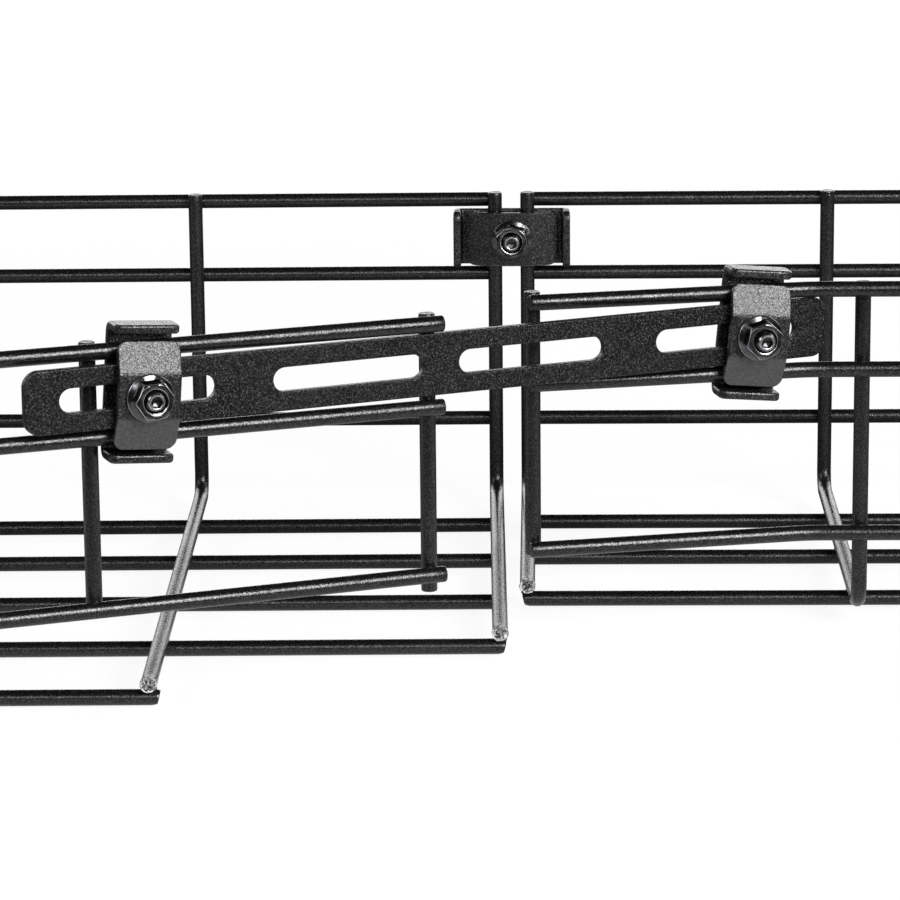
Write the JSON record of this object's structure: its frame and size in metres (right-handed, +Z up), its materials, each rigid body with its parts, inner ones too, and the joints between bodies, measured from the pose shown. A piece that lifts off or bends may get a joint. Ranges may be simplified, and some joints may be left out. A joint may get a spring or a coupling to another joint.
{
  "type": "wire mesh cable tray reducer joint",
  "caption": "Wire mesh cable tray reducer: a wide and a narrow basket section joined by a butt splice clamp and a slotted splice bar.",
  "frame": {"origin": "the bottom centre of the bounding box, at the underside of the wide section floor wires", "axes": "+X runs along the tray from the wide section to the narrow one, +Y points out through the far side wall, +Z is up"},
  "size_m": [0.5154, 0.3202, 0.114],
  "materials": {
    "wide_section_coat": "black semi-gloss powder coat on welded steel wire",
    "narrow_section_coat": "black semi-gloss powder coat on welded steel wire",
    "bar_coat": "fine textured black powder coat",
    "clip_coat": "fine textured black powder coat",
    "plate_coat": "fine textured black powder coat with a metallic sparkle",
    "bolt_black_zinc": "polished black zinc plating",
    "nut_black_zinc": "polished black zinc plating"
  },
  "bodies": {
    "tray": {"left_cross_wire_1": "wide_section_coat", "left_cross_wire_2": "wide_section_coat", "left_cross_wire_3": "wide_section_coat", "left_cross_wire_4": "wide_section_coat", "left_far_lower_wire": "wide_section_coat", "left_far_second_wire": "wide_section_coat", "left_far_top_wire": "wide_section_coat", "left_floor_wire_1": "wide_section_coat", "left_floor_wire_2": "wide_section_coat", "left_floor_wire_3": "wide_section_coat", "left_floor_wire_4": "wide_section_coat", "left_floor_wire_5": "wide_section_coat", "left_floor_wire_6": "wide_section_coat", "left_near_lower_wire": "wide_section_coat", "left_near_second_wire": "wide_section_coat", "left_near_top_wire": "wide_section_coat", "left_near_upright_1": "wide_section_coat", "left_near_upright_2": "wide_section_coat", "left_near_upright_3": "wide_section_coat", "right_cross_wire_1": "narrow_section_coat", "right_cross_wire_2": "narrow_section_coat", "right_cross_wire_3": "narrow_section_coat", "right_far_lower_wire": "narrow_section_coat", "right_far_second_wire": "narrow_section_coat", "right_far_top_wire": "narrow_section_coat", "right_floor_wire_1": "narrow_section_coat", "right_floor_wire_2": "narrow_section_coat", "right_floor_wire_3": "narrow_section_coat", "right_near_lower_wire": "narrow_section_coat", "right_near_second_wire": "narrow_section_coat", "right_near_top_wire": "narrow_section_coat", "right_near_upright_1": "narrow_section_coat", "far_clip": "clip_coat", "far_bolt": "bolt_black_zinc"},
    "splice_bar": {"splice_bar": "bar_coat"},
    "left_clamp": {"left_clip": "clip_coat", "left_bolt": "bolt_black_zinc"},
    "right_clamp": {"right_clip": "clip_coat", "right_bolt": "bolt_black_zinc"},
    "far_plate": {"far_front_plate": "plate_coat"},
    "far_nut": {"far_flange_nut": "nut_black_zinc"},
    "left_plate": {"left_front_plate": "plate_coat"},
    "left_nut": {"left_flange_nut": "nut_black_zinc"},
    "right_plate": {"right_front_plate": "plate_coat"},
    "right_nut": {"right_flange_nut": "nut_black_zinc"}
  },
  "joints": [
    {"name": "splice_bar_slide", "type": "slide", "parent": "tray", "child": "splice_bar", "axis": [0.9048, 0.4258, 0], "range_m": [-0.008, 0.008]},
    {"name": "left_clamp_slide", "type": "slide", "parent": "tray", "child": "left_clamp", "axis": [0.9278, 0.373, 0], "range_m": [0, 0.005]},
    {"name": "right_clamp_slide", "type": "slide", "parent": "tray", "child": "right_clamp", "axis": [0.9732, 0.23, 0], "range_m": [-0.0015, 0.0015]},
    {"name": "far_plate_slide", "type": "slide", "parent": "tray", "child": "far_plate", "axis": [0, -1, 0], "range_m": [0, 0.003]},
    {"name": "far_nut_turn", "type": "hinge", "parent": "far_plate", "child": "far_nut", "pos_m": [0.05024, 0.14581, 0.0942], "axis": [0, -1, 0], "range_deg": [0, 1081]},
    {"name": "left_plate_slide", "type": "slide", "parent": "left_clamp", "child": "left_plate", "axis": [0.373, -0.9278, 0], "range_m": [0, 0.003]},
    {"name": "left_nut_turn", "type": "hinge", "parent": "left_plate", "child": "left_nut", "pos_m": [-0.04693, -0.09562, 0.0937], "axis": [0.373, -0.9278, 0], "range_deg": [0, 1081]},
    {"name": "right_plate_slide", "type": "slide", "parent": "right_clamp", "child": "right_plate", "axis": [0.23, -0.9732, 0], "range_m": [0, 0.003]},
    {"name": "right_nut_turn", "type": "hinge", "parent": "right_plate", "child": "right_nut", "pos_m": [0.12428, -0.01675, 0.0937], "axis": [0.23, -0.9732, 0], "range_deg": [0, 1081]}
  ],
  "couplings": [
    {"joint": "far_nut_turn", "follows": "far_plate_slide", "rad_per_m": 6283.2},
    {"joint": "left_nut_turn", "follows": "left_plate_slide", "rad_per_m": 6283.2},
    {"joint": "right_nut_turn", "follows": "right_plate_slide", "rad_per_m": 6283.2}
  ]
}
